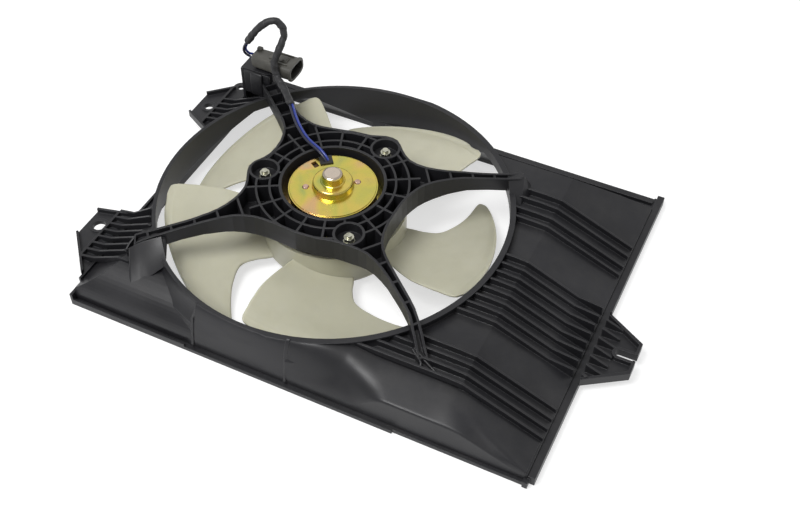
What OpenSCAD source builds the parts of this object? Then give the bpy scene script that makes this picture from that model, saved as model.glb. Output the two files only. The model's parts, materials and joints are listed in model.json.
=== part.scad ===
// Condenser fan: a shallow ducted shroud with a motor mount, a brushed motor, a fan and a plug lead.
// Millimetres. The fan axis is Z, +Z points to the motor side and Z=0 is the shroud's front rim.

/* [Fan] */
// diameter swept by the blade tips
fan_d = 287; // [240:1:320]
// radial gap between blade tips and the ring
tip_gap = 4.3; // [3:0.1:8]
// number of blades
blade_count = 5; // [3:1:9]
// blade thickness along the axis
blade_t = 2.6; // [2:0.1:4]
// outside diameter of the hub
hub_d = 122.6; // [100:0.2:140]
// wall thickness of the hub
hub_wall = 3; // [2.2:0.1:5]
// turn of the fan about its axis in the rest pose
fan_turn = 17.8; // [0:0.1:72]

/* [Shroud] */
// depth from the rim plane to the rear face of the panel
shroud_depth = 37; // [33:0.5:45]
// wall thickness of the moulding
wall = 2.6; // [2:0.1:3.5]
// distance from the ring bore to the side edge of the rim
side_margin = 13.7; // [12:0.1:30]
// distance from the ring bore to the top edge of the rim
top_margin = 11.2; // [9:0.1:30]
// distance from the ring bore to the bottom edge of the rim
bottom_margin = 96.2; // [80:0.2:130]
// radial thickness of the ring
ring_t = 3.1; // [2:0.1:5]
// height of the ring above the panel
ring_lip = 7.5; // [5:0.5:12]
// thickness of a rear rib
rib_t = 1.8; // [1.2:0.1:3]

/* [Ears] */
// radius of the bolt hole in the first upper ear
ear_hole_a_r = 5.6; // [3:0.1:7]
// radius of the bolt hole in the second upper ear
ear_hole_b_r = 4.3; // [3:0.1:6]
// distance of the upper ears beyond the rim
ear_reach = 31.5; // [28:0.5:45]
// width of the slot in the lower ear
slot_w = 6.8; // [5:0.1:9]
// distance of the lower ear beyond the rim
lower_reach = 33; // [28:0.5:45]

/* [Motor] */
// outside diameter of the motor can
can_d = 72; // [60:0.5:78]
// wall thickness of the motor can
can_t = 2.2; // [1.5:0.1:3]
// diameter of the motor shaft
shaft_d = 8; // [6:0.1:10]
// radial running clearance of the shaft in its bearings
run_gap = 0.03; // [0.01:0.01:0.08]
// radius of the circle of the mounting studs
stud_circle_r = 60; // [55:0.5:64]
// diameter of a mounting stud
stud_d = 5; // [4:0.1:6]

/* [Lead] */
// radius of one insulated wire
wire_r = 1.15; // [0.8:0.05:1.3]
// outside radius of the taped sleeve
sleeve_r = 3.4; // [3.2:0.05:4.5]

/* [Hidden] */
$fn = 96;

fan_r = fan_d/2;
hub_r = hub_d/2;
hole_r = fan_r + tip_gap;
ring_r = hole_r + ring_t;
body_x = hole_r - 0.8;
edge_x = hole_r + side_margin;
edge_up = hole_r + top_margin;
edge_down = hole_r + bottom_margin;
ring_z = shroud_depth + ring_lip;

// levels of the motor mount
floor_z = shroud_depth + 8.5;
floor_t = 2.5;
rim_z = floor_z + 20;
cup_z = floor_z + 10.5;
mount_hole_r = can_d/2 + 6.3;
mount_wall = wall - 0.7;
flange_t = 2.5;
blade_hi = floor_z - 5.5;
blade_lo = 1.6;
hub_front = 5;
hub_rear = blade_hi - 2;

// levels of the motor
can_r = can_d/2;
can_front = 14;
cap_z = rim_z - 4;
can_rear = cap_z - 2.4;
dome_z = cap_z + 14.3;
bear_r = 7.2;
sr = shaft_d/2;

// all places outside the motor follow the bore of the ring
arm_scale = hole_r/147.8;
stud_angles = [-20, 100, 220];
arm_angles = [134.5, 49, 232, 304.5];

// edge of the motor mount between each pair of arms, anticlockwise from the fourth arm
edge_east = [[93, -133], [78, -115], [64.5, -96], [55, -79], [50.3, -62], [52, -46], [60.5, -35],
  [69.5, -26], [70.5, -15], [66, -3], [64, 12], [59.5, 32], [57.5, 49], [63.5, 66], [76, 81], [106, 115]];
edge_north = [[99, 127], [70, 98], [55, 82], [42, 70.5], [26, 64.5], [8, 64.3], [-3, 69], [-13, 72.3],
  [-24, 68], [-36, 63], [-52, 63.5], [-67, 69.5], [-79.5, 80.5], [-91.5, 96.5], [-110, 123]];
edge_west = [[-119, 118], [-106.5, 103], [-94.5, 87.5], [-82, 70], [-70, 54], [-63.5, 38], [-62.8, 20],
  [-64, 0], [-62.5, -18], [-59.4, -32], [-58.6, -46], [-60, -61], [-67.5, -77.5], [-79.5, -95.5],
  [-92, -112], [-104.5, -121.5], [-119, -133.5]];
edge_south = [[-114, -139.5], [-100, -127.8], [-85.5, -115.3], [-73.5, -100], [-60, -82], [-48, -70.5],
  [-35, -64.5], [-18, -62.2], [2, -62.3], [16, -64.7], [29, -70], [41, -81], [53, -94.5], [66, -111.5],
  [84, -134.5]];

// smooth interpolation through neighbouring values
function cr(a, b, c, d, t) =
  0.5*(2*b + (c - a)*t + (2*a - 5*b + 4*c - d)*t*t + (3*b - a - 3*c + d)*t*t*t);
function pick(P, i) = P[max(0, min(len(P) - 1, i))];
function smooth(P, n) = concat(
  [for (i = [0 : len(P) - 2]) for (k = [0 : n - 1])
    cr(pick(P, i - 1), P[i], P[i + 1], pick(P, i + 2), k/n)],
  [P[len(P) - 1]]);
function unit(v) = v/norm(v);

// blade rows: radius share, angle of the straight edge, angle of the hooked edge,
// height share at the straight edge, height lost per degree
blade_rows = [
  [-0.015, 84, 133, 0.68, 0.0088],
  [0.06, 83.3, 131.3, 0.69, 0.0090],
  [0.18, 82.8, 128.8, 0.73, 0.0098],
  [0.34, 82.5, 128.7, 0.78, 0.0108],
  [0.50, 83, 135, 0.83, 0.0121],
  [0.63, 84.3, 141.2, 0.88, 0.0137],
  [0.73, 85.2, 146, 0.92, 0.0145],
  [0.80, 86, 149, 0.945, 0.0148],
  [0.85, 86.4, 150.3, 0.96, 0.0150],
  [0.89, 86.8, 149.4, 0.97, 0.0154],
  [0.915, 87, 146.5, 0.98, 0.0158],
  [0.93, 87.3, 132, 0.98, 0.0159],
  [0.945, 87.5, 121, 0.985, 0.0160],
  [0.965, 88, 112, 0.99, 0.0160],
  [0.985, 89, 104, 0.985, 0.0160],
  [1, 92, 97, 0.93, 0.0160]];

// how far the plug and the far part of the lead move when the ring or the mount changes size
plug_shift = [105*(arm_scale - 1), 130*(arm_scale - 1), rim_z - 65.5];

// route of the lead from the motor to the plug
lead_route = [
  [23, 17, 60], [24.5, 20, 64], [28, 28, 67.2], [35, 43, 67.6], [45, 56, 67.6], [56, 67, 67.5],
  [69, 78, 67], [84, 93, 67], [94, 106, 71], [97, 110, 82], [102, 108, 92], [111, 106, 105],
  [112.5, 110, 114.5], [109, 117, 118], [104, 128, 109.5], [103, 140, 92], [104.5, 145, 82],
  [107.5, 145, 75], [110, 141, 71.4], [110, 134, 71], [110, 122, 71]];
function far_share(i) = max(0, min(1, (i - 2)/6));
lead_path = [for (i = [0 : len(lead_route) - 1]) lead_route[i]
  + [plug_shift[0]*far_share(i), plug_shift[1]*far_share(i), plug_shift[2]]];
lead_ref = unit([1, -0.35, 0]);
sleeve_from = 12;
sleeve_to = 30;

// plug position
plug_x = 101 + plug_shift[0];
plug_y = 95 + plug_shift[1];
plug_z = 64 + plug_shift[2];
plug_w = 18;
plug_l = 43;
plug_h = 14;

module tube(r1, r2, h) {
  difference() {
    cylinder(r = r2, h = h);
    translate([0, 0, -1]) cylinder(r = r1, h = h + 2);
  }
}

// plate lying across X, drawn in the YZ plane
module along_x(x0, x1, pts) {
  translate([x0, 0, 0]) rotate([90, 0, 90]) linear_extrude(x1 - x0) polygon(pts);
}

// plate lying across Y, drawn in the XZ plane
module along_y(y0, y1, pts) {
  translate([0, y1, 0]) rotate([90, 0, 0]) linear_extrude(y1 - y0) polygon(pts);
}

// section across the width, set in by i
slope_x = edge_x - 4.5;
function sect_x(i) = concat(
  [[-slope_x + i, i > 0 ? -5 : 0]],
  [for (a = [0 : 5 : 90])
    [-slope_x + 45*arm_scale*(1 - cos(a)) + i*(1 - a/90*0.3), 8 + (shroud_depth - 8)*sin(a) - i]],
  [[body_x - 27, shroud_depth - i], [body_x - 12 - i, 21 - i*0.5], [body_x - 1 - i, 6 - i*0.4],
   [body_x - 1 - i, i > 0 ? -5 : 0]]);

// section along the height, set in by i
function slope_y() = -edge_down + 74;
function sect_y(i) = [
  [-edge_down + 6 + i, i > 0 ? -5 : 0], [-edge_down + 6 + i, 10 - i],
    [slope_y() + i*0.4, shroud_depth - i],
  [edge_up - 34, shroud_depth - i], [edge_up - 2 - i, 15 - i], [edge_up - 2 - i, i > 0 ? -5 : 0]];

module shroud_block(i) {
  intersection() {
    along_y(-edge_down - 1, edge_up + 1, sect_x(i));
    along_x(-edge_x, edge_x, sect_y(i));
  }
}

// height of the rear surface at y
function face_z(y) =
  y < slope_y() ? 10 + (y + edge_down - 6)/(slope_y() + edge_down - 6)*(shroud_depth - 10) :
  y > edge_up - 34 ? shroud_depth - (y - edge_up + 34)/32*(shroud_depth - 15) : shroud_depth;

// rear rib that follows the panel down to the bottom edge
module panel_rib(x, y0) {
  along_x(x - rib_t/2, x + rib_t/2, [
    [y0, shroud_depth - 2.2], [slope_y() + 1, shroud_depth - 2.2],
    [-edge_down + 6.5, face_z(-edge_down + 6.5) - 2.2],
    [-edge_down + 6.5, face_z(-edge_down + 6.5) + 4.5], [slope_y() - 2, shroud_depth + 5],
    [slope_y() + 12, shroud_depth + 6], [y0, shroud_depth + 6]]);
}

module shroud_panel() color([0.07, 0.07, 0.08]) {
  difference() {
    union() {
      difference() {
        union() {
          shroud_block(0);
          translate([0, 0, 8]) cylinder(r = ring_r, h = ring_z - 8);
          skirt();
        }
        shroud_block(wall);
        skirt_hollow();
      }
      intersection() {
        translate([0, 0, ring_z - 1.6]) cylinder(r = ring_r + 1.6, h = 1.6);
        translate([-ring_r, -ring_r - 9, 0]) cube([2*ring_r, ring_r + 9, ring_z + 1]);
      }
      difference() {
        union() {
          for (x = [-125, -116, -106.5, -97, 52, 62, 75, 86]) panel_rib(x*arm_scale,
            -sqrt(pow(ring_r + 1, 2) - pow(x*arm_scale, 2)) + 2);
          for (i = [0 : 7]) ear_rib(i);
        }
        arm_room();
        arm_foot_d();
      }
      for (y = skirt_from) side_gusset(y*arm_scale);
    }
    translate([0, 0, -1]) cylinder(r = hole_r, h = ring_z + 2);
  }
}

// curved skirt that joins the ring to the slope beside it, outside the plain part of the ring's side
skirt_from = [-39, 44];
function skirt_pt(k, i) = [ring_r - i + 9*pow(k/8, 1.7), ring_z - i - 17*k/8];
module skirt_span(d) for (s = [0, 1])
  translate([-slope_x + d, s > 0 ? skirt_from[1]*arm_scale + d : -105*arm_scale, 0])
    cube([70, s > 0 ? 61*arm_scale - d : (105 + skirt_from[0])*arm_scale - d, ring_z + 1]);
module skirt() intersection() {
  rotate_extrude() polygon(concat([[ring_r - 1, ring_z], [ring_r, ring_z]],
    [for (k = [1 : 8]) skirt_pt(k, 0)], [[ring_r + 10.5, ring_z - 30], [ring_r - 1, ring_z - 30]]));
  skirt_span(0);
}

// hollow behind the skirt
module skirt_hollow() intersection() {
  rotate_extrude() polygon(concat([[ring_r + 0.1, ring_z - wall - 8]],
    [for (k = [4.5 : 1 : 7.5]) skirt_pt(k, wall)],
    [[ring_r + 10.5 - wall, ring_z - 31], [ring_r + 0.1, ring_z - 31]]));
  skirt_span(wall);
}

// one of the ribs that run from the ring down to the slotted ear
function ear_rib_x(i) = 8 - i*9.8;
module ear_rib(i) {
  y0 = -sqrt(pow(ring_r + 1, 2) - pow(ear_rib_x(i), 2)) + 2;
  along_x(ear_rib_x(i) - rib_t/2, ear_rib_x(i) + rib_t/2, [
    [y0, shroud_depth - 1], [slope_y() + 1, shroud_depth - 1],
    [-edge_down + 6.5, face_z(-edge_down + 6.5) - 1],
    [-edge_down + 6.5, 20], [-edge_down + 28, face_z(-edge_down + 28) + 4],
    [slope_y() - 2, shroud_depth + 5], [slope_y() + 12, shroud_depth + 6], [y0, shroud_depth + 6]]);
}

// thin upright web that closes the end of the skirt
module side_gusset(y) {
  along_y(y - 1.1, y + 1.1, [[-ring_r + 8, 8], [-slope_x + 1, 7], [-slope_x - 1.5, 6], [-ring_r - 1.6, 33],
    [-ring_r + 8, 40]]);
}

module rim_corner(x0, x1, y0, y1, h) {
  translate([x0, y0, 0]) cube([x1 - x0, y1 - y0, h]);
}

module shroud_rim() color([0.07, 0.07, 0.08]) difference() {
  union() {
    // side flanges, with a low lip on one and a raised lip with a groove on the other
    rim_corner(-edge_x, -slope_x + 2, -edge_down + 8, edge_up, 3.4);
    rim_corner(-edge_x, -edge_x + 1.8, 50*arm_scale, edge_up - 1, 6);
    rim_corner(body_x - 1, edge_x, -edge_down + 8, edge_up, 4);
    rim_corner(edge_x - 10, edge_x - 6, -edge_down + 8, edge_up - 1, 8);
    rim_corner(body_x - 1, body_x + 2, -edge_down + 8, edge_up - 1, 6);
    // top strip
    rim_corner(-body_x, body_x - 1, edge_up - 2, edge_up, 17.5);
    rim_corner(-edge_x, -body_x, edge_up - 2.4, edge_up, 12);
    rim_corner(body_x - 1, edge_x, edge_up - 5, edge_up, 10);
    // bottom bar
    rim_corner(-edge_x + 5, edge_x + 1, -edge_down, -edge_down + 6, 8.5);
    rim_corner(-edge_x, -body_x + 6, -edge_down + 4, -edge_down + 8, 6);
    rim_corner(body_x - 1, edge_x - 1, -edge_down + 6, -edge_down + 8, 6);
  }
  translate([0, 0, -1]) cylinder(r = hole_r - 1.6, h = 40);
  shroud_block(0);
  for (y = skirt_from) side_gusset(y*arm_scale);
  // the side edge steps in below the fan
  translate([-edge_x - 1, -edge_down + 8, -1]) cube([2.5, 104, 20]);
  translate([edge_x - 1.5, -edge_down - 1, -1]) cube([0.5, 110, 3]);
}

// upper ear: outline points, hole place and hole radius
ear_a = [[-143, 0], [-107, 1], [-76, 1], [-68, 0]];
ear_b = [[50, 0], [67, 1], [98, 1], [128, 0]];
ear_z = 14;
function ear_pt(p) = [p[0]*arm_scale, edge_up + p[1]*ear_reach];

// upright rib of an upper ear, from the cross wall down to the ring
module ear_up_rib(x) {
  y0 = max(sqrt(max(0, pow(ring_r + 1.6, 2) - pow(x, 2))), edge_up - 40);
  y1 = max(y0 + 2, edge_up - 30);
  difference() {
    along_x(x - rib_t/2, x + rib_t/2, [
      [y0, face_z(y0) - 3], [edge_up + 12, ear_z], [edge_up + 12, 21], [edge_up - 2, 24],
      [y1, shroud_depth + 1], [y0, shroud_depth + 1]]);
    shroud_block(0);
    translate([-edge_x, edge_up - 2, -1]) cube([2*edge_x, 2, 18.5]);
  }
}

module ear_plate(P, hx, hy, hr, cup) {
  difference() {
    union() {
      translate([0, 0, ear_z]) linear_extrude(3) polygon([for (p = P) ear_pt(p)]);
      translate([hx, hy, ear_z]) cylinder(r = hr + 2.6, h = 4.4);
      // cross wall behind the hole
      intersection() {
        translate([-edge_x, edge_up + 11, ear_z]) cube([2*edge_x, 2, 7]);
        translate([0, 0, ear_z]) linear_extrude(20) polygon([for (p = P) ear_pt(p)]);
      }
      // side walls
      intersection() {
        union() {
          edge_wall(ear_pt(P[0]), ear_pt(P[1]), 7);
          edge_wall(ear_pt(P[2]), ear_pt(P[3]), 7);
        }
        translate([-edge_x, edge_up, 0]) cube([2*edge_x, 2*ear_reach, 40]);
      }
    }
    translate([hx, hy, ear_z - 2]) cylinder(r = hr, h = 20);
  }
}

// thin wall standing on the ear plate along one edge
module edge_wall(p, q, h) {
  d = unit(q - p);
  n = [d[1], -d[0]];
  translate([0, 0, ear_z]) linear_extrude(h) polygon([p, q, q + 2*n, p + 2*n]);
}

function ear_hole_y() = edge_up + 19.5;

module ear_upper_a() color([0.07, 0.07, 0.08]) {
  ear_plate(ear_a, -91*arm_scale, ear_hole_y(), ear_hole_a_r);
  difference() {
    for (i = [0 : 7]) ear_up_rib((-70 - i*8.2)*arm_scale);
    arm_foot_a();
    arm_room();
  }
}

module ear_upper_b() color([0.07, 0.07, 0.08]) difference() {
  union() {
    ear_plate(ear_b, 83*arm_scale, ear_hole_y(), ear_hole_b_r);
    difference() {
      for (i = [0 : 4]) ear_up_rib((66 + i*7.6)*arm_scale);
      arm_room();
    }
    // small loop beside the ear
    translate([loop_x(), edge_up + 7.6, ear_z]) cylinder(r = 7.4, h = 3);
    translate([loop_x() - 8, edge_up, ear_z]) cube([16, 7.6, 3]);
  }
  translate([loop_x(), edge_up + 7.6, ear_z - 1]) cylinder(r = 3, h = 20);
  translate([loop_x(), edge_up + 7.6, ear_z + 3]) cylinder(r = 5.6, h = 20);
}
function loop_x() = 121.5*arm_scale;

// lower ear with an open slot
ear_slot_x = -25.4;
module lower_outline(d) {
  polygon([[-64 + d, -edge_down + 0], [-42 + d*0.8, -edge_down - lower_reach + d],
    [-10 - d*0.8, -edge_down - lower_reach + d],
    [9 - d, -edge_down + 0]]);
}

module ear_lower() color([0.07, 0.07, 0.08]) difference() {
  union() {
    translate([0, 0, 7]) linear_extrude(3) lower_outline(0);
    difference() {
      translate([0, 0, 7]) linear_extrude(8) lower_outline(0);
      translate([0, 0, 9]) linear_extrude(20) lower_outline(2.4);
    }
    intersection() {
      translate([0, 0, 7]) linear_extrude(30) lower_outline(1);
      for (i = [0 : 7]) along_x(ear_rib_x(i) - rib_t/2, ear_rib_x(i) + rib_t/2,
        [[-edge_down - 15, 7], [-edge_down, 7], [-edge_down, 19], [-edge_down - 15, 13]]);
    }
    slot_wall();
  }
  translate([ear_slot_x - slot_w/2, -edge_down - lower_reach - 5, 0])
    cube([slot_w, 5 + lower_reach - 19, 40]);
  translate([ear_slot_x, -edge_down - 19, 0]) cylinder(r = slot_w/2, h = 40);
}

module slot_wall() {
  difference() {
    union() {
      translate([ear_slot_x - slot_w/2 - 2.4, -edge_down - lower_reach + 1, 7])
        cube([slot_w + 4.8, lower_reach - 20, 7]);
      translate([ear_slot_x, -edge_down - 19, 7]) cylinder(r = slot_w/2 + 2.4, h = 7);
    }
    translate([ear_slot_x, -edge_down - 19, 0]) cylinder(r = slot_w/2, h = 40);
  }
}

// edge of the mount as one closed line, set in by d
function scaled(P) = [for (p = P) p*arm_scale];
mount_line = concat(smooth(scaled(edge_east), 2), smooth(scaled(edge_north), 2),
  smooth(scaled(edge_west), 2), smooth(scaled(edge_south), 2));
function inward(P, i) = let (n = len(P), t = unit(P[(i + 1)%n] - P[(i + n - 1)%n])) [-t[1], t[0]];
module mount_outline(d) polygon([for (i = [0 : len(mount_line) - 1])
  mount_line[i] + d*inward(mount_line, i)]);

// heights along a radius: the underside, the top of the floor and the top of the walls
function under(up) = [[0, floor_z + up], [75, floor_z + up], [95, floor_z + 3 + up],
  [112, floor_z + 3.5 + up], [130, floor_z + 0.5 + up], [146.5, blade_hi + 2 + up]];
mount_under = concat(under(0), [[148.3, shroud_depth - 3], [240, shroud_depth - 3]]);
mount_floor = concat(under(floor_t), [[154, ring_z + 2], [172, shroud_depth + 2], [240, shroud_depth + 1]]);
mount_top = [[0, rim_z], [86, rim_z], [98, rim_z - 0.9], [110, rim_z - 2.5], [120, ring_z + 16.2],
  [130, ring_z + 14], [146, ring_z + 10.5], [157, ring_z + 8.5], [164, ring_z + 6.5], [172, ring_z + 1],
  [181, shroud_depth + 4], [240, shroud_depth + 1.5]];
function across(P, drop) = [for (p = P) [p[0]*arm_scale, p[1] - drop]];
function backwards(P) = [for (i = [len(P) - 1 : -1 : 0]) P[i]];
module between(low, high) rotate_extrude() polygon(concat(low, backwards(high)));

// room that the arms take above the panel
module arm_room() translate([0, 0, shroud_depth]) linear_extrude(rim_z - shroud_depth) mount_outline(0);

module mount_ribs() {
  for (r = [52.2, 63.2]) difference() {
    circle(r = r + rib_t/2);
    circle(r = r - rib_t/2);
  }
  for (a = [0 : 20 : 340]) rotate([0, 0, a]) translate([mount_hole_r + 0.5, -rib_t/2])
    square([72 - mount_hole_r, rib_t]);
  for (a = arm_angles) for (s = [78 : 19 : 160]) rotate([0, 0, a]) translate([s*arm_scale, -20])
    square([rib_t, 40]);
}

module motor_mount() color([0.07, 0.07, 0.08]) difference() {
  union() {
    // floor
    intersection() {
      linear_extrude(rim_z) mount_outline(0.6);
      between(across(mount_under, 0), across(mount_floor, 0));
    }
    // outer wall
    intersection() {
      linear_extrude(rim_z + 1) difference() {
        mount_outline(0);
        mount_outline(mount_wall);
      }
      between(across(mount_under, 0), across(mount_top, 0));
    }
    // ring ribs, radial ribs and the cross ribs of the arms
    intersection() {
      linear_extrude(rim_z + 1) intersection() {
        mount_outline(mount_wall - 0.5);
        mount_ribs();
      }
      between(across(mount_under, -0.5), across(mount_top, 0.7));
    }
    // wall round the motor
    translate([0, 0, floor_z]) tube(mount_hole_r, mount_hole_r + 2.4, rim_z - floor_z);
    for (a = stud_angles) rotate([0, 0, a]) translate([stud_circle_r, 0, floor_z + 0.5])
      cylinder(r = 13, h = rim_z - floor_z - 0.9);
    arm_foot_a();
    arm_foot_d();
  }
  for (a = stud_angles) rotate([0, 0, a]) translate([stud_circle_r, 0, cup_z]) cylinder(r = 11, h = 20);
  for (a = stud_angles) rotate([0, 0, a]) translate([stud_circle_r, 0, floor_z - 1])
    cylinder(r = stud_d/2 + 0.4, h = 30);
  translate([0, 0, floor_z - 1]) cylinder(r = mount_hole_r, h = 40);
  translate([0, 0, shroud_depth - 20]) tube(hole_r - 0.4, ring_r + 1.6, ring_z - shroud_depth + 20);
  translate([0, 0, -1]) cylinder(r = hole_r, h = blade_hi + 2.5);
  shroud_block(0);
  skirt();
}

// rounded foot of the first arm, which runs down the slope beside the ring
module arm_foot_a() hull() {
  for (p = [[-135.5, 108, 24], [-130, 113.5, 30], [-123.5, 117, 37.5], [-117, 116, 44], [-112, 119.5, 44],
    [-118, 124, 30], [-101, 111, 47], [-105, 99, 49], [-119.5, 92, 40]])
    translate([p[0]*arm_scale, p[1]*arm_scale, p[2] - 37 + shroud_depth]) sphere(r = 3, $fn = 20);
}

// broad foot of the fourth arm, between the ring and the panel
module arm_foot_d() hull() {
  translate([0, 0, ring_z + 7.5]) linear_extrude(1)
    polygon(arm_scale*[[77.5, -126], [84.5, -121.5], [92, -131], [88, -136]]);
  translate([0, 0, shroud_depth - 1]) linear_extrude(1)
    polygon(arm_scale*[[64, -134], [74, -129], [84, -122], [97, -132], [98, -139], [86, -144], [70, -141]]);
}

// upright plate that carries the plug
module connector_bracket() color([0.07, 0.07, 0.08]) difference() {
  translate([plug_shift[0], plug_shift[1], 0]) union() {
    along_x(108, 110.6, [[118, 30], [149, 12], [149, plug_z - 2], [118, plug_z - 2]]);
    along_x(102, 110.6, [[118, 30], [120.4, 30], [120.4, plug_z - 2], [118, plug_z - 2]]);
    along_x(100, 110.6, [[146.6, 12], [149, 12], [149, plug_z - 2], [146.6, plug_z - 2]]);
    translate([101, 118, plug_z - 4]) cube([17, 31, 2.4]);
    translate([106, 119, plug_z - 1.6]) cube([8, 17, 1.6]);
  }
  shroud_block(0);
  arm_room();
  translate([107 + plug_shift[0], 124 + plug_shift[1], 42]) cube([5, 12, 12]);
}

module motor_can() color([0.6, 0.6, 0.58]) {
  difference() {
    union() {
      translate([0, 0, can_front]) cylinder(r = can_r, h = can_rear - can_front);
      translate([0, 0, can_front - 2.6]) cylinder(r = 12.5, h = 4.1);
    }
    translate([0, 0, can_front + can_t]) cylinder(r = can_r - can_t, h = 80);
    translate([0, 0, can_front - 1.5]) cylinder(r = bear_r, h = 8);
    translate([0, 0, -1]) cylinder(r = sr + 1.2, h = 40);
    for (a = [0 : 60 : 300]) rotate([0, 0, a]) translate([22, 0, can_front - 1]) cylinder(r = 3, h = 5);
  }
}

module motor_flange() color([0.75, 0.65, 0.3]) difference() {
  translate([0, 0, floor_z - flange_t]) linear_extrude(flange_t) difference() {
    union() {
      circle(r = can_r + 6);
      for (a = stud_angles) rotate([0, 0, a]) {
        translate([stud_circle_r, 0]) circle(r = 7.5);
        translate([can_r, -7.5]) square([stud_circle_r - can_r, 15]);
      }
    }
    circle(r = can_r);
    for (a = stud_angles) rotate([0, 0, a]) translate([stud_circle_r, 0]) circle(r = stud_d/2);
  }
}

can_len = can_rear - can_front;
module magnets() color([0.12, 0.12, 0.12]) for (a = [20, 200]) rotate([0, 0, a])
  translate([0, 0, can_front + 6]) rotate_extrude(angle = 140) translate([can_r - can_t - 6.5, 0])
    square([6.45, can_len - 15]);

arm_r = can_r - can_t - 6.5 - 0.9;
module armature_core() color([0.45, 0.45, 0.47]) difference() {
  translate([0, 0, can_front + 8]) cylinder(r = arm_r, h = can_len - 19);
  translate([0, 0, can_front]) cylinder(r = sr, h = 60);
  for (a = [0 : 36 : 324]) rotate([0, 0, a]) {
    translate([15, -3, can_front]) cube([8, 6, can_len]);
    translate([20, -1, can_front]) cube([20, 2, can_len]);
  }
}

module windings() color([0.72, 0.4, 0.2]) {
  for (a = [0 : 36 : 324]) rotate([0, 0, a]) translate([15.4, -2.6, can_front + 6.5])
    cube([7.2, 5.2, can_len - 16]);
  for (z = [can_front + 3.6, can_rear - 11.3]) difference() {
    translate([0, 0, z]) rotate_extrude() translate([16.6, 2.3]) scale([1, 0.3]) circle(r = 7);
    for (a = [0 : 36 : 324]) rotate([0, 0, a]) translate([15.4, -2.6, can_front + 6.5])
      cube([7.2, 5.2, can_len - 16]);
  }
}

module commutator() color([0.75, 0.42, 0.22]) difference() {
  union() {
    translate([0, 0, can_rear - 7.5]) cylinder(r = 8.4, h = 8.4);
    translate([0, 0, can_rear - 7.5]) cylinder(r = 9.6, h = 1.6);
  }
  translate([0, 0, can_rear - 10]) cylinder(r = sr, h = 20);
  for (a = [0 : 36 : 324]) rotate([0, 0, a]) translate([7.4, -0.25, can_rear - 9]) cube([4, 0.5, 14]);
}

module shaft() color([0.75, 0.75, 0.77]) {
  translate([0, 0, 3.2]) cylinder(r = 2.9, h = 5.5);
  translate([0, 0, 8.6]) cylinder(r = sr, h = dome_z - 3.2 - 8.6);
}

module bearing_front() color([0.6, 0.45, 0.25]) difference() {
  translate([0, 0, can_front - 1.5]) cylinder(r = bear_r, h = 5.5);
  translate([0, 0, 0]) cylinder(r = sr + run_gap, h = 40);
}

module bearing_rear() color([0.6, 0.45, 0.25]) difference() {
  translate([0, 0, cap_z + 0.6]) cylinder(r = bear_r, h = 6.5);
  translate([0, 0, cap_z - 5]) cylinder(r = sr + run_gap, h = 40);
}

module thrust_washers() color([0.85, 0.83, 0.7]) {
  translate([0, 0, can_front + 4.3]) tube(sr, 6.4, 1);
  translate([0, 0, cap_z - 0.7]) tube(sr, 6.4, 1);
}

module brush_holder() color([0.25, 0.16, 0.1]) difference() {
  translate([0, 0, can_rear - 3.5]) union() {
    tube(11, can_r - can_t, 2);
    for (a = [128, 308]) rotate([0, 0, a]) translate([11.2, -5.4, 1.9]) cube([17, 10.8, 1]);
    for (a = [128, 308]) rotate([0, 0, a]) for (s = [-1, 1]) translate([11.2, s*4.6 - 0.8, 1.9])
      cube([17, 1.6, 2.9]);
    for (a = [128, 308]) rotate([0, 0, a]) translate([26.6, -4, 1.9]) cube([1.6, 8, 2.9]);
  }
}

module brushes() color([0.1, 0.1, 0.1]) for (a = [128, 308]) rotate([0, 0, a]) difference() {
  translate([7.6, -3.6, can_rear - 0.6]) cube([10.4, 7.2, 1.9]);
  translate([0, 0, can_rear - 5]) cylinder(r = 8.7, h = 20);
}

module brush_springs() color([0.7, 0.7, 0.72]) for (a = [128, 308]) rotate([0, 0, a])
  translate([18, 0, can_rear + 0.38]) rotate([0, 90, 0]) {
    for (k = [0 : 4]) translate([0, 0, 0.5 + k*1.78]) rotate_extrude($fn = 24) translate([0.62, 0])
      circle(r = 0.24, $fn = 13);
    translate([0.62, 0, 0.1]) cylinder(r = 0.2, h = 8.4, $fn = 13);
  }

// yellow zinc cap with a stepped bearing dome and a notch for the lead
module end_cap() color([0.78, 0.68, 0.3]) difference() {
  union() {
    translate([0, 0, can_rear]) cylinder(r = can_r, h = cap_z - can_rear);
    translate([0, 0, can_rear - 2.6]) tube(can_r, can_r + 1.2, cap_z - can_rear + 2);
    translate([0, 0, cap_z]) rotate_extrude()
      polygon([[0, -1], [17.7, -1], [17.5, 0.4], [16.8, 4.6], [16.3, 5.6], [15.6, 6], [10.5, 6.2],
      [9.8, 5.8], [8.9, 6.4], [8.6, 12.4], [8.2, 13.4], [7.2, 14], [6.4, 14.3], [0, 14.3]]);
  }
  translate([0, 0, can_rear - 5]) cylinder(r = can_r - can_t - 1, h = cap_z - can_rear + 4);
  translate([0, 0, cap_z - 2]) cylinder(r = bear_r, h = 9.1);
  translate([0, 0, cap_z - 2]) cylinder(r = sr + 1, h = 14.8);
  rotate([0, 0, notch_a]) translate([notch_r, -notch_w/2, cap_z - 8]) cube([20, notch_w, 12]);
  rotate([0, 0, 58]) translate([26.5, -2.2, cap_z - 3]) cube([7, 4.4, 5]);
  for (p = cap_rivet_pts) translate([p[0], p[1], cap_z - 5]) cylinder(r = 1.5, h = 10);
}

notch_a = 38.8;
notch_r = 26.3;
notch_w = 11;
cap_rivet_pts = [[-11.3, 19.6], [12.5, -16.3]];
module cap_rivets() color([0.75, 0.6, 0.45]) for (p = cap_rivet_pts) translate([p[0], p[1], 0]) {
  translate([0, 0, cap_z - 1]) cylinder(r = 1.5, h = 1.3);
  translate([0, 0, cap_z]) cylinder(r1 = 3, r2 = 2.3, h = 0.9);
}

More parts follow.
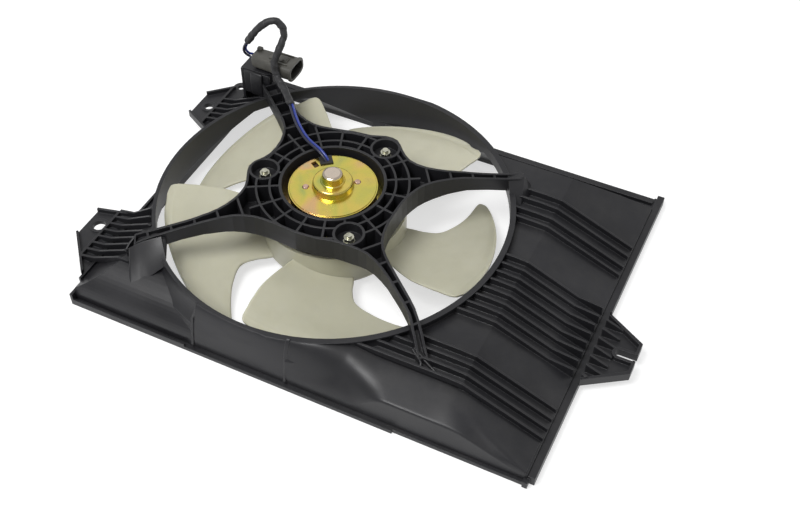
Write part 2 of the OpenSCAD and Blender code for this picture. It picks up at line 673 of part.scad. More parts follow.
// rubber block that closes the notch, with two wire holes
module grommet() color([0.05, 0.05, 0.05]) difference() {
  intersection() {
    rotate([0, 0, notch_a]) translate([notch_r, -notch_w/2, can_rear - 1]) cube([14, notch_w, 4.6]);
    translate([0, 0, can_rear - 1]) cylinder(r = can_r, h = 6);
  }
  translate([0, 0, can_rear - 2]) tube(can_r - can_t - 1, can_r + 4, 2);
  translate([0, 0, can_rear - 2]) tube(can_r, can_r + 4, 5);
  for (s = [-1, 1]) for (i = [0, 1]) hull() {
    for (k = [i, i + 1]) translate(ring_pt(lead_pts, k, s*wire_off, 0, 0))
      sphere(r = wire_r + 0.25, $fn = 24);
  }
}
wire_off = wire_r + 0.06;

module studs() color([0.78, 0.72, 0.5]) for (a = stud_angles) rotate([0, 0, a])
  translate([stud_circle_r, 0, floor_z - flange_t])
  cylinder(r = stud_d/2, h = cup_z - floor_z + flange_t + 7.5);

module spring_washers() color([0.7, 0.65, 0.45]) for (a = stud_angles) rotate([0, 0, a])
  translate([stud_circle_r, 0, cup_z])
  difference() {
    tube(stud_d/2 + 0.25, stud_d/2 + 2.3, 1.2);
    rotate([0, 0, 30]) translate([0, -0.4, -1]) cube([10, 0.8, 4]);
  }

module stud_nuts() color([0.78, 0.72, 0.5]) for (a = stud_angles) rotate([0, 0, a])
  translate([stud_circle_r, 0, cup_z + 1.2])
  difference() {
    intersection() {
      cylinder(r = stud_d*0.93, h = 4, $fn = 6);
      rotate_extrude() polygon([[0, 0], [stud_d*0.93, 0], [stud_d*0.93, 3.5], [stud_d*0.82, 4], [0, 4]]);
    }
    translate([0, 0, -1]) cylinder(r = stud_d/2 + 0.05, h = 8);
  }

// stepped hub cup, open to the rear
module fan_hub() color([0.8, 0.8, 0.72]) difference() {
  rotate_extrude() polygon([[0, hub_front + 3.2], [26.5, hub_front + 3.2], [26.5, hub_front + 2.4],
    [37.5, hub_front + 2.2], [39.5, hub_front],
    [hub_r - 6, hub_front], [hub_r - 2, hub_front + 1.6], [hub_r, hub_front + 5], [hub_r, hub_rear],
      [hub_r - hub_wall, hub_rear],
    [hub_r - hub_wall, hub_front + 8], [hub_r - 8, hub_front + 4.4], [0, hub_front + 4.4]]);
  translate([0, 0, -1]) cylinder(r = 16, h = 40);
  for (k = [0 : 4]) rotate([0, 0, fan_turn + 18 + 72*k]) for (s = [-1, 1])
    rotate([0, 0, s*6.2]) translate([49, 0, hub_front - 1]) cylinder(r = 2.6, h = 3);
}

function blade_pt(row, u, s) =
  let (r = hub_r + (fan_r - hub_r)*row[0], a = row[1] + (row[2] - row[1])*u,
    h = row[3] - row[4]*(a - row[1]) - 0.05*sin(180*u)*min(1, 0.4 + row[0]))
  [r*cos(a), r*sin(a), blade_lo + blade_t/2 + (blade_hi - blade_lo - blade_t)*max(0,
    min(1, h)) + s*blade_t/2];

module one_blade(R, m) {
  n = len(R);
  t = [for (i = [0 : n - 1]) for (j = [0 : m]) blade_pt(R[i], j/m, 1)];
  b = [for (i = [0 : n - 1]) for (j = [0 : m]) blade_pt(R[i], j/m, -1)];
  w = m + 1;
  o = n*w;
  polyhedron(points = concat(t, b), faces = concat(
    [for (i = [0 : n - 2]) for (j = [0 : m - 1]) [i*w + j, (i + 1)*w + j + 1, (i + 1)*w + j]],
    [for (i = [0 : n - 2]) for (j = [0 : m - 1]) [i*w + j, i*w + j + 1, (i + 1)*w + j + 1]],
    [for (i = [0 : n - 2]) for (j = [0 : m - 1]) [o + i*w + j, o + (i + 1)*w + j, o + (i + 1)*w + j + 1]],
    [for (i = [0 : n - 2]) for (j = [0 : m - 1]) [o + i*w + j, o + (i + 1)*w + j + 1, o + i*w + j + 1]],
    [for (j = [0 : m - 1]) [j + 1, j, o + j]],
    [for (j = [0 : m - 1]) [j + 1, o + j, o + j + 1]],
    [for (j = [0 : m - 1]) [(n - 1)*w + j, (n - 1)*w + j + 1, o + (n - 1)*w + j + 1]],
    [for (j = [0 : m - 1]) [(n - 1)*w + j, o + (n - 1)*w + j + 1, o + (n - 1)*w + j]],
    [for (i = [0 : n - 2]) [i*w, (i + 1)*w, o + (i + 1)*w]],
    [for (i = [0 : n - 2]) [i*w, o + (i + 1)*w, o + i*w]],
    [for (i = [0 : n - 2]) [(i + 1)*w + m, i*w + m, o + i*w + m]],
    [for (i = [0 : n - 2]) [(i + 1)*w + m, o + i*w + m, o + (i + 1)*w + m]]));
}

module fan_blades() color([0.8, 0.8, 0.72]) for (k = [0 : blade_count - 1])
  rotate([0, 0, fan_turn + 360/blade_count*k]) one_blade(smooth(blade_rows, 2), 9);

// pressed steel disc moulded into the hub, with a drive collar on the shaft
module hub_insert() color([0.7, 0.71, 0.72]) difference() {
  union() {
    translate([0, 0, hub_front + 1.9]) cylinder(r = 25, h = 1.3);
    translate([0, 0, hub_front + 3.1]) cylinder(r = 16, h = 1.3);
    translate([0, 0, hub_front + 4.3]) cylinder(r = 9, h = 1.2);
  }
  translate([0, 0, hub_front + 3.6]) cylinder(r = sr, h = 10);
  translate([0, 0, -1]) cylinder(r = 2.95, h = 30);
}

module fan_washer() color([0.7, 0.7, 0.7]) translate([0, 0, hub_front + 0.9]) tube(2.95, 9, 1);

module fan_nut() color([0.7, 0.7, 0.7]) difference() {
  translate([0, 0, hub_front - 1.4]) cylinder(r = 5.8, h = 2.3, $fn = 6);
  translate([0, 0, 0]) cylinder(r = 2.95, h = 20);
}

// frames along the lead
function tangent(P, i) = unit(pick(P, i + 1) - pick(P, i - 1));
function side(P, i) = unit(lead_ref - (lead_ref*tangent(P, i))*tangent(P, i));
function spread(P, i) = len(P) < 30 ? 1 : 1 + 2.3*max(0, min(1, (i - len(P) + 6)/3));
function ring_pt(P, i, o, r, a) =
  P[i] + (o*spread(P, i) + r*cos(a))*side(P, i) + r*sin(a)*cross(tangent(P, i), side(P, i));

module sweep(P, o, r, n) {
  m = len(P);
  polyhedron(
    points = [for (i = [0 : m - 1]) for (k = [0 : n - 1]) ring_pt(P, i, o, r, 360*k/n)],
    faces = concat(
      [[for (k = [0 : n - 1]) k]],
      [[for (k = [0 : n - 1]) (m - 1)*n + n - 1 - k]],
      [for (i = [0 : m - 2]) for (k = [0 : n - 1]) [i*n + k, (i + 1)*n + k, (i + 1)*n + (k + 1)%n]],
      [for (i = [0 : m - 2]) for (k = [0 : n - 1]) [i*n + k, (i + 1)*n + (k + 1)%n, i*n + (k + 1)%n]]));
}

module sweep_tube(P, r1, r2, n) {
  m = len(P);
  q = m*n;
  polyhedron(
    points = concat(
      [for (i = [0 : m - 1]) for (k = [0 : n - 1]) ring_pt(P, i, 0, r2, 360*k/n)],
      [for (i = [0 : m - 1]) for (k = [0 : n - 1]) ring_pt(P, i, 0, r1, 360*k/n)]),
    faces = concat(
      [for (i = [0 : m - 2]) for (k = [0 : n - 1]) [i*n + k, (i + 1)*n + k, (i + 1)*n + (k + 1)%n]],
      [for (i = [0 : m - 2]) for (k = [0 : n - 1]) [i*n + k, (i + 1)*n + (k + 1)%n, i*n + (k + 1)%n]],
      [for (i = [0 : m - 2]) for (k = [0 : n - 1]) [q + i*n + k, q + (i + 1)*n + (k + 1)%n,
        q + (i + 1)*n + k]],
      [for (i = [0 : m - 2]) for (k = [0 : n - 1]) [q + i*n + k, q + i*n + (k + 1)%n,
        q + (i + 1)*n + (k + 1)%n]],
      [for (k = [0 : n - 1]) [k, (k + 1)%n, q + (k + 1)%n]],
      [for (k = [0 : n - 1]) [k, q + (k + 1)%n, q + k]],
      [for (k = [0 : n - 1]) [(m - 1)*n + (k + 1)%n, (m - 1)*n + k, q + (m - 1)*n + k]],
      [for (k = [0 : n - 1]) [(m - 1)*n + (k + 1)%n, q + (m - 1)*n + k, q + (m - 1)*n + (k + 1)%n]]));
}

lead_pts = smooth(lead_path, 2);
module lead_blue() color([0.1, 0.12, 0.45]) sweep(lead_pts, wire_off, wire_r, 8);
module lead_black() color([0.05, 0.05, 0.06]) sweep(lead_pts, -wire_off, wire_r, 8);
module lead_sleeve() color([0.06, 0.06, 0.06])
  sweep_tube([for (i = [sleeve_from : sleeve_to]) lead_pts[i]], 2*wire_r + 0.35, sleeve_r, 12);

// two-way plug housing, mouth towards -Y
module connector_housing() color([0.35, 0.34, 0.32]) difference() {
  union() {
    translate([plug_x, plug_y, plug_z]) cube([plug_w, plug_l, plug_h]);
    translate([plug_x - 1, plug_y + 16, plug_z - 0]) cube([plug_w + 2, 3, plug_h + 1]);
    translate([plug_x + plug_w/2 - 4, plug_y + 6, plug_z + plug_h]) cube([8, 8, 1.8]);
    translate([plug_x + 2, plug_y + 22, plug_z + plug_h]) cube([1.6, 18, 1]);
    translate([plug_x + plug_w - 3.6, plug_y + 22, plug_z + plug_h]) cube([1.6, 18, 1]);
  }
  translate([plug_x + 2, plug_y - 1, plug_z + 2]) cube([plug_w - 4, 17, plug_h - 4]);
  translate([plug_x + 2.4, plug_y + plug_l - 9, plug_z + 2]) cube([plug_w - 4.8, 10, plug_h - 4]);
  for (s = [-1, 1]) translate([plug_x + plug_w/2 + s*4, plug_y + 10, plug_z + plug_h/2])
    rotate([-90, 0, 0]) cylinder(r = 1.9, h = 30);
}

module terminals() color([0.75, 0.72, 0.6]) for (s = [-1, 1])
  translate([plug_x + plug_w/2 + s*4, 0, plug_z + plug_h/2]) {
  translate([-0.4, plug_y + 5, -1.4]) cube([0.8, 14, 2.8]);
  translate([0, plug_y + 18, 0]) rotate([-90, 0, 0]) cylinder(r = 1.9, h = 9);
}

module wire_seal() color([0.35, 0.2, 0.12]) difference() {
  translate([plug_x + 2.4, plug_y + plug_l - 9, plug_z + 2]) cube([plug_w - 4.8, 4.5, plug_h - 4]);
  for (s = [-1, 1]) translate([plug_x + plug_w/2 + s*4, plug_y + plug_l - 10, plug_z + plug_h/2])
    rotate([-90, 0, 0]) cylinder(r = 1.25, h = 8);
}

shroud_panel();
shroud_rim();
ear_upper_a();
ear_upper_b();
ear_lower();
motor_mount();
connector_bracket();
motor_can();
motor_flange();
magnets();
armature_core();
windings();
commutator();
shaft();
bearing_front();
bearing_rear();
thrust_washers();
brush_holder();
brushes();
brush_springs();
end_cap();
cap_rivets();
grommet();
studs();
stud_nuts();
spring_washers();
fan_hub();
fan_blades();
hub_insert();
fan_nut();
fan_washer();
lead_blue();
lead_black();
lead_sleeve();
connector_housing();
terminals();
wire_seal();
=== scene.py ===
"""Looks of the condenser fan: black shroud, milky fan, yellow zinc motor cap, taped lead and plug."""
import json
import math

import bpy
import numpy as np
from mathutils import Matrix, Vector


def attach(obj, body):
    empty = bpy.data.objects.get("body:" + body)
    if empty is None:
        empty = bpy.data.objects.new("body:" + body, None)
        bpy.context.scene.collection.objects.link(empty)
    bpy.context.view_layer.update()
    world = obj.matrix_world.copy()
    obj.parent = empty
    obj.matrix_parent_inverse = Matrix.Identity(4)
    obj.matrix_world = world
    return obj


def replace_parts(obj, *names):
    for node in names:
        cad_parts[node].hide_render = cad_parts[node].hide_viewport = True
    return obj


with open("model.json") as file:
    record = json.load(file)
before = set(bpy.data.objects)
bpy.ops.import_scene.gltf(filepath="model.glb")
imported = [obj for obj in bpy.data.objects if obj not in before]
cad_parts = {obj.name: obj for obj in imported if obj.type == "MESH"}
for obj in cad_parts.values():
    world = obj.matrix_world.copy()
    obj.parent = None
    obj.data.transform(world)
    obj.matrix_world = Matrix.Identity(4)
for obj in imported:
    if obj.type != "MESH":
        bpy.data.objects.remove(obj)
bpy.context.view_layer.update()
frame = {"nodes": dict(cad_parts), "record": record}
nodes = frame["nodes"]
MM = 0.001


# Camera

# the photograph's lens is lengthened about its own axis, so that this one fan fills the picture
CAMERA_PLACE = Vector((-584.2, -338.5, 708.3)) * MM
CAMERA_TURN = (-64.65, 47.91, 0.4)
LENS = 50.7


def place_camera():
    """The line of sight goes down along minus the back vector; the roll turns the picture about it."""
    turn, lift, roll = (math.radians(a) for a in CAMERA_TURN)
    right = Vector((math.cos(turn), math.sin(turn), 0))
    back = Vector((math.sin(turn) * math.cos(lift), -math.cos(turn) * math.cos(lift), math.sin(lift)))
    up = back.cross(right)
    axes = Matrix((right, up, back)).transposed() @ Matrix.Rotation(roll, 3, "Z")
    camera = bpy.data.objects.new("camera", bpy.data.cameras.new("camera"))
    camera.data.lens = LENS
    camera.data.clip_start = 0.01
    camera.matrix_world = Matrix.Translation(CAMERA_PLACE) @ axes.to_4x4()
    bpy.context.collection.objects.link(camera)
    bpy.context.scene.camera = camera


# Shader nodes and groups

def feed(tree, socket, source):
    """Links the socket to another one, or sets its constant."""
    if hasattr(source, "is_output"):
        tree.links.new(source, socket)
    else:
        socket.default_value = source


def new_group(name, inputs, outputs):
    """An empty shader node group; inputs are (name, kind, value), outputs are (name, kind)."""
    tree = bpy.data.node_groups.new(name, "ShaderNodeTree")
    for label, kind, value in inputs:
        socket = tree.interface.new_socket(name=label, in_out="INPUT", socket_type="NodeSocket" + kind)
        if value is not None:
            socket.default_value = value
    for label, kind in outputs:
        tree.interface.new_socket(name=label, in_out="OUTPUT", socket_type="NodeSocket" + kind)
    return tree, tree.nodes.new("NodeGroupInput"), tree.nodes.new("NodeGroupOutput")


def add(tree, kind, wires=(), **values):
    """A node of that kind. wires are (its input, what feeds it), values are its own settings."""
    node = tree.nodes.new("ShaderNode" + kind)
    for name, value in values.items():
        setattr(node, name, value)
    for place, source in wires:
        feed(tree, node.inputs[place], source)
    return node


def math_node(tree, operation, a, b):
    """One operation on two values."""
    return add(tree, "Math", [(0, a), (1, b)], operation=operation).outputs[0]


def times(tree, a, b):
    """The product of two values."""
    return math_node(tree, "MULTIPLY", a, b)


def remap(tree, value, low, high, to_low=0.0, to_high=1.0):
    """Values from low to high spread over to_low to to_high, and held there outside."""
    node = add(tree, "MapRange", [("Value", value), ("From Min", low), ("From Max", high),
                                  ("To Min", to_low), ("To Max", to_high)])
    return node.outputs["Result"]


def blend_colour(tree, amount, first, second):
    """The first colour goes over to the second with the amount."""
    return add(tree, "Mix", [("Factor", amount), (6, first), (7, second)], data_type="RGBA").outputs[2]


def build_patches():
    """Soft patches: noise on object coordinates, cut to the range between Low and High."""
    tree, ins, outs = new_group(
        "patches", [("Scale", "Float", 60.0), ("Low", "Float", 0.4), ("High", "Float", 0.6),
                    ("Stretch", "Vector", (1, 1, 1))],
        [("Mask", "Float")])
    place = add(tree, "TexCoord").outputs["Object"]
    stretched = add(tree, "VectorMath", [(0, place), (1, ins.outputs["Stretch"])], operation="MULTIPLY")
    noise = add(tree, "TexNoise", [("Vector", stretched.outputs[0]), ("Scale", ins.outputs["Scale"]),
                                   ("Detail", 5.0), ("Roughness", 0.6)])
    mask = remap(tree, noise.outputs["Fac"], ins.outputs["Low"], ins.outputs["High"])
    tree.links.new(mask, outs.inputs["Mask"])
    return tree


def build_edges():
    """Rounded corners: the normal of a small bevel, and a mask of how far it leans from the true normal."""
    tree, ins, outs = new_group(
        "soft_corners", [("Radius", "Float", 0.0006)], [("Normal", "Vector"), ("Mask", "Float")])
    bevel = add(tree, "Bevel", [("Radius", ins.outputs["Radius"])], samples=6)
    true = add(tree, "NewGeometry").outputs["True Normal"]
    lean = add(tree, "VectorMath", [(0, bevel.outputs[0]), (1, true)], operation="DOT_PRODUCT")
    mask = remap(tree, lean.outputs["Value"], 0.995, 0.8)
    tree.links.new(bevel.outputs[0], outs.inputs["Normal"])
    tree.links.new(mask, outs.inputs["Mask"])
    return tree


def build_grain():
    """Fine moulded grain: small noise and slower waves raised by a bump on the normal that comes in."""
    tree, ins, outs = new_group(
        "moulded_grain", [("Normal", "Vector", None), ("Scale", "Float", 900.0),
                          ("Height", "Float", 0.00002), ("Waves", "Float", 0.0)],
        [("Normal", "Vector")])
    place = add(tree, "TexCoord").outputs["Object"]
    noise = add(tree, "TexNoise", [("Vector", place), ("Scale", ins.outputs["Scale"]), ("Detail", 3.0)])
    swell = add(tree, "TexNoise", [("Vector", place), ("Scale", 28.0), ("Detail", 1.0)])
    waves = times(tree, swell.outputs["Fac"], ins.outputs["Waves"])
    height = math_node(tree, "ADD", noise.outputs["Fac"], waves)
    bump = add(tree, "Bump", [("Height", height), ("Distance", ins.outputs["Height"]),
                              ("Normal", ins.outputs["Normal"])])
    tree.links.new(bump.outputs[0], outs.inputs["Normal"])
    return tree


def build_dust():
    """Pale dust on faces that look up, broken by noise."""
    tree, ins, outs = new_group("dust", [("Amount", "Float", 0.3)], [("Mask", "Float")])
    up = add(tree, "SeparateXYZ", [(0, add(tree, "NewGeometry").outputs["Normal"])]).outputs["Z"]
    flat = remap(tree, up, 0.3, 1.0)
    place = add(tree, "TexCoord").outputs["Object"]
    noise = add(tree, "TexNoise", [("Vector", place), ("Scale", 34.0), ("Detail", 7.0), ("Roughness", 0.65)])
    broken = remap(tree, noise.outputs["Fac"], 0.42, 0.72)
    mask = times(tree, times(tree, flat, broken), ins.outputs["Amount"])
    tree.links.new(mask, outs.inputs["Mask"])
    return tree


PATCHES = build_patches()
EDGES = build_edges()
GRAIN = build_grain()
DUST = build_dust()


def place_group(tree, group, **values):
    """The outputs of the group in a material, with its own values."""
    node = tree.nodes.new("ShaderNodeGroup")
    node.node_tree = group
    for name, value in values.items():
        feed(tree, node.inputs[name.capitalize()], value)
    return node.outputs


def patch_mask(tree, **values):
    """The mask of soft patches with their own scale, range and stretch."""
    return place_group(tree, PATCHES, **values)["Mask"]


# Materials

DOME_TOP = 0.0758


def start(name, colour, roughness, metallic=0.0, **settings):
    """A material with its Principled shader's own constants set."""
    material = bpy.data.materials.new(name)
    material.use_nodes = True
    shader = material.node_tree.nodes["Principled BSDF"]
    shader.inputs["Base Color"].default_value = (*colour, 1)
    shader.inputs["Roughness"].default_value = roughness
    shader.inputs["Metallic"].default_value = metallic
    for label, value in settings.items():
        shader.inputs[label.replace("_", " ")].default_value = value
    return material, material.node_tree, shader


def dress_shader(tree, shader, colour, rough, **grain):
    """Feeds the shader its colour, its roughness and the normal of a grain with its own values."""
    normal = place_group(tree, GRAIN, **grain)["Normal"]
    for label, source in (("Base Color", colour), ("Roughness", rough), ("Normal", normal)):
        tree.links.new(source, shader.inputs[label])


def black_moulding():
    """Satin black polypropylene: corners painted lighter as a highlight, faint flow patches, dust, grain."""
    material, tree, shader = start("shroud_plastic", (0.017, 0.017, 0.019), 0.40, Specular_IOR_Level=0.40)
    corners = place_group(tree, EDGES, radius=0.0007)
    cloud = patch_mask(tree, scale=16.0, low=0.35, high=0.7)
    scuff = patch_mask(tree, scale=55.0, low=0.55, high=0.72, stretch=(1.0, 0.35, 1.0))
    dust = place_group(tree, DUST, amount=0.05)["Mask"]
    base = blend_colour(tree, cloud, (0.013, 0.013, 0.015, 1), (0.019, 0.019, 0.022, 1))
    # painted highlight: the bevel's corner mask lightens the colour on every rounded edge
    highlit_corners = blend_colour(tree, times(tree, corners["Mask"], 0.65), base, (0.065, 0.065, 0.070, 1))
    dusty = blend_colour(tree, dust, highlit_corners, (0.22, 0.21, 0.19, 1))
    rough = math_node(tree, "ADD", remap(tree, cloud, 0, 1, 0.34, 0.45), times(tree, scuff, 0.1))
    dress_shader(tree, shader, dusty, rough, normal=corners["Normal"],
                 scale=1100.0, height=0.00003, waves=2.0)
    return material


def milky_plastic():
    """Natural polypropylene of the fan: milky, slightly green, a little light passes into it."""
    material, tree, shader = start("fan_plastic", (0.6, 0.59, 0.48), 0.38,
                                   Subsurface_Weight=0.35, Subsurface_Scale=0.004, Specular_IOR_Level=0.45)
    shader.inputs["Subsurface Radius"].default_value = (1.0, 0.95, 0.7)
    cloud = patch_mask(tree, scale=13.0, low=0.3, high=0.75)
    smudge = patch_mask(tree, scale=42.0, low=0.5, high=0.8)
    base = blend_colour(tree, cloud, (0.50, 0.49, 0.375, 1), (0.58, 0.565, 0.445, 1))
    colour = blend_colour(tree, times(tree, smudge, 0.3), base, (0.42, 0.405, 0.30, 1))
    rough = remap(tree, smudge, 0, 1, 0.34, 0.48)
    dress_shader(tree, shader, colour, rough, scale=500.0, height=0.00002, waves=4.0)
    return material


def yellow_zinc():
    """Yellow passivated zinc: greenish yellow that drifts to gold and pink, paler on the dome's top, with
    water marks."""
    material, tree, shader = start("zinc_yellow", (0.78, 0.66, 0.16), 0.27, 1.0)
    place = add(tree, "TexCoord").outputs["Object"]
    drift = add(tree, "TexNoise", [("Vector", place), ("Scale", 26.0), ("Detail", 2.5), ("Distortion", 0.9)])
    ramp = add(tree, "ValToRGB", [("Fac", drift.outputs["Fac"])])
    stops = [(0.30, (0.47, 0.51, 0.15)), (0.43, (0.65, 0.58, 0.13)), (0.53, (0.75, 0.58, 0.14)),
             (0.62, (0.77, 0.49, 0.23)), (0.72, (0.63, 0.50, 0.27))]
    for _ in stops[2:]:
        ramp.color_ramp.elements.new(0.5)
    for element, (place_on, colour) in zip(ramp.color_ramp.elements, stops):
        element.position = place_on
        element.color = (*colour, 1)
    mark = patch_mask(tree, scale=110.0, low=0.5, high=0.75)
    corners = place_group(tree, EDGES, radius=0.0004)
    height = add(tree, "SeparateXYZ", [(0, place)]).outputs["Z"]
    top = times(tree, remap(tree, height, DOME_TOP - 0.0012, DOME_TOP - 0.0006), 0.75)
    drifted = blend_colour(tree, times(tree, mark, 0.3), ramp.outputs["Color"], (0.52, 0.46, 0.22, 1))
    colour = blend_colour(tree, top, drifted, (0.66, 0.58, 0.60, 1))
    rough = remap(tree, mark, 0, 1, 0.20, 0.34)
    dress_shader(tree, shader, colour, rough, normal=corners["Normal"],
                 scale=700.0, height=0.000006, waves=4.0)
    return material


def bare_metal(name, dark, light, rough_low, rough_high, scale=120.0, stretch=(1.0, 1.0, 1.0)):
    """Plated or ground metal: two close colours in patches, rounded corners painted lighter as a highlight,
    and a fine grain.
    """
    material, tree, shader = start(name, light, rough_high, 1.0)
    cloud = patch_mask(tree, scale=scale, low=0.35, high=0.7, stretch=stretch)
    corners = place_group(tree, EDGES, radius=0.00025)
    colour = blend_colour(tree, cloud, (*light, 1), (*dark, 1))
    # painted highlight: the corner mask lightens the colour towards pale grey
    highlit_metal = blend_colour(tree, times(tree, corners["Mask"], 0.4), colour, (0.8, 0.8, 0.8, 1))
    rough = remap(tree, cloud, 0, 1, rough_low, rough_high)
    dress_shader(tree, shader, highlit_metal, rough, normal=corners["Normal"], scale=1500.0, height=0.00001)
    return material


def dull_solid(name, dark, light, roughness, coat=0.0):
    """Painted, rubber, carbon or hard plastic: two close colours in patches over a grain, with corners
    painted paler as a highlight."""
    material, tree, shader = start(name, light, roughness, Coat_Weight=coat)
    cloud = patch_mask(tree, scale=80.0, low=0.35, high=0.7)
    corners = place_group(tree, EDGES, radius=0.0004)
    colour = blend_colour(tree, cloud, (*light, 1), (*dark, 1))
    # painted highlight: a paler tint that the corners are lightened towards
    pale = tuple(min(1.0, 2.2 * c + 0.02) for c in light)
    highlit_corners = blend_colour(tree, times(tree, corners["Mask"], 0.4), colour, (*pale, 1))
    rough = remap(tree, cloud, 0, 1, roughness - 0.05, roughness + 0.06)
    dress_shader(tree, shader, highlit_corners, rough, normal=corners["Normal"], scale=900.0, height=0.00003)
    return material


def paint_mouth_shade(material):
    """Paints shade into the material: darker where the mesh's own value named inside is high, deep in the
    plug's mouth.
    """
    tree = material.node_tree
    socket = tree.nodes["Principled BSDF"].inputs["Base Color"]
    before = socket.links[0].from_socket
    deep = add(tree, "Attribute", attribute_name="inside").outputs["Fac"]
    tree.links.new(blend_colour(tree, deep, before, (0.004, 0.004, 0.004, 1)), socket)


def wound_tape():
    """Cloth tape: a fine weave and the slanted laps of the winding, on the sleeve's own map."""
    material, tree, shader = start("tape", (0.02, 0.02, 0.021), 0.6)
    along = add(tree, "SeparateXYZ", [(0, add(tree, "TexCoord").outputs["UV"])])
    lap = math_node(tree, "FRACT", math_node(tree, "ADD", along.outputs["X"], along.outputs["Y"]), 0.0)
    edge = remap(tree, lap, 0.0, 0.1, 1.0, 0.0)
    fluff = patch_mask(tree, scale=300.0, low=0.4, high=0.7)
    base = blend_colour(tree, fluff, (0.018, 0.018, 0.02, 1), (0.03, 0.03, 0.032, 1))
    colour = blend_colour(tree, times(tree, edge, 0.5), base, (0.07, 0.07, 0.075, 1))
    rough = remap(tree, fluff, 0, 1, 0.5, 0.66)
    dress_shader(tree, shader, colour, rough, scale=1800.0, height=0.00008, waves=1.5)
    return material


# dark and light colour, lowest and highest roughness, scale and stretch of the patches
METALS = {
    "zinc_clear": ((0.5, 0.5, 0.5), (0.68, 0.68, 0.68), 0.25, 0.4),
    "zinc_pale": ((0.36, 0.36, 0.28), (0.70, 0.69, 0.58), 0.22, 0.4, 260.0),
    "zinc_pink": ((0.42, 0.27, 0.20), (0.80, 0.55, 0.44), 0.2, 0.35, 300.0),
    "steel": ((0.45, 0.44, 0.46), (0.62, 0.61, 0.64), 0.22, 0.36),
    "laminations": ((0.2, 0.2, 0.22), (0.34, 0.34, 0.36), 0.4, 0.55, 400.0, (0.1, 0.1, 6.0)),
    "copper": ((0.45, 0.18, 0.06), (0.62, 0.28, 0.12), 0.25, 0.4, 300.0),
    "bronze": ((0.4, 0.28, 0.12), (0.52, 0.38, 0.18), 0.4, 0.5, 500.0),
    "tin": ((0.5, 0.48, 0.4), (0.66, 0.63, 0.52), 0.3, 0.4)}
# dark and light colour, roughness, share of clear coat
DULL_SOLIDS = {
    "can_steel": ((0.03, 0.03, 0.032), (0.045, 0.045, 0.048), 0.35),
    "ferrite": ((0.03, 0.03, 0.033), (0.05, 0.05, 0.055), 0.7),
    "phenolic": ((0.08, 0.045, 0.025), (0.12, 0.07, 0.04), 0.55),
    "carbon": ((0.02, 0.02, 0.02), (0.035, 0.035, 0.035), 0.5),
    "rubber_black": ((0.012, 0.012, 0.012), (0.022, 0.022, 0.022), 0.55),
    "wire_blue": ((0.015, 0.03, 0.2), (0.03, 0.055, 0.32), 0.32, 0.3),
    "wire_black": ((0.012, 0.013, 0.03), (0.02, 0.022, 0.045), 0.35, 0.2),
    "plug_plastic": ((0.058, 0.056, 0.049), (0.088, 0.085, 0.074), 0.42),
    "seal_rubber": ((0.10, 0.04, 0.025), (0.15, 0.06, 0.04), 0.5)}
FINISHES = {"shroud_plastic": black_moulding(), "fan_plastic": milky_plastic(), "zinc_yellow": yellow_zinc(),
            "tape": wound_tape()}
FINISHES.update({name: bare_metal(name, *row) for name, row in METALS.items()})
FINISHES.update({name: dull_solid(name, *row) for name, row in DULL_SOLIDS.items()})
paint_mouth_shade(FINISHES["plug_plastic"])
SMOOTH_UP_TO = math.radians(12)
# the studs' and rivets' zinc differs from that of the other pieces in their slots
OTHER_ZINC = {"studs": "zinc_pale", "stud_nuts": "zinc_pale", "spring_washers": "zinc_pale",
              "cap_rivets": "zinc_pink"}


def dress_nodes():
    """Each node takes the finish of its slot in the record."""
    for part in frame["record"]["subparts"]:
        mesh = nodes[part["node"]].data
        mesh.materials.clear()
        mesh.materials.append(FINISHES[OTHER_ZINC.get(part["node"], part["material_slot"])])
        mesh.polygons.foreach_set("use_smooth", np.ones(len(mesh.polygons), bool))
        mesh.set_sharp_from_angle(angle=SMOOTH_UP_TO)


# Closed meshes

def closed_mesh(name, points, finish, uv=None):
    """A closed mesh from rows of points: each row is a ring joined to the next one, and the first and the
    last are each closed by one face. uv is an array of map places."""
    rows, cols = points.shape[:2]
    number = np.arange(rows * cols).reshape(rows, cols)
    here, down = number[:-1], number[1:]
    quads = np.stack([here, np.roll(here, -1, 1), np.roll(down, -1, 1), down], -1).reshape(-1, 4)
    mesh = bpy.data.meshes.new(name)
    mesh.from_pydata(points.reshape(-1, 3).tolist(), [],
                     quads.tolist() + [number[0, ::-1].tolist(), number[-1].tolist()])
    if uv is not None:
        corners = np.zeros(len(mesh.loops), np.int32)
        mesh.loops.foreach_get("vertex_index", corners)
        layer = mesh.uv_layers.new(name="wrap")
        layer.data.foreach_set("uv", uv.reshape(-1, 2)[corners].ravel())
    mesh.polygons.foreach_set("use_smooth", np.ones(len(mesh.polygons), bool))
    mesh.materials.append(finish)
    mesh.validate()
    mesh.update()
    piece = bpy.data.objects.new(name, mesh)
    bpy.context.collection.objects.link(piece)
    return piece


def add_piece(name, points, body, slot, sharp=None, uv=None):
    """The closed mesh of rows in millimetres, in its slot's finish and on its body. Edges that turn by more
    degrees than sharp stay crisp."""
    piece = closed_mesh(name, points * MM, FINISHES[slot], uv)
    if sharp is not None:
        piece.data.set_sharp_from_angle(angle=math.radians(sharp))
    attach(piece, body)
    return piece


def through(values, steps):
    """A smooth line through the rows of values: each span is the cubic whose slope at a row is half the
    difference of its neighbours."""
    p = np.vstack([values[:1], values, values[-1:]])
    t = (np.arange(steps) / steps)[None, :, None]
    a, b, c, d = (p[k:len(p) - 3 + k, None, :] for k in range(4))
    spans = 0.5 * (2 * b + (c - a) * t + (2 * a - 5 * b + 4 * c - d) * t**2
                   + (3 * b - a - 3 * c + d) * t**3)
    return np.vstack([spans.reshape(-1, values.shape[1]), values[-1:]])


def unit(rows):
    """Rows of vectors, each made one long."""
    return rows / np.linalg.norm(rows, axis=-1, keepdims=True)


def path_length(line):
    """The length of the line up to each of its points."""
    return np.concatenate([[0], np.cumsum(np.linalg.norm(np.diff(line, axis=0), axis=1))])


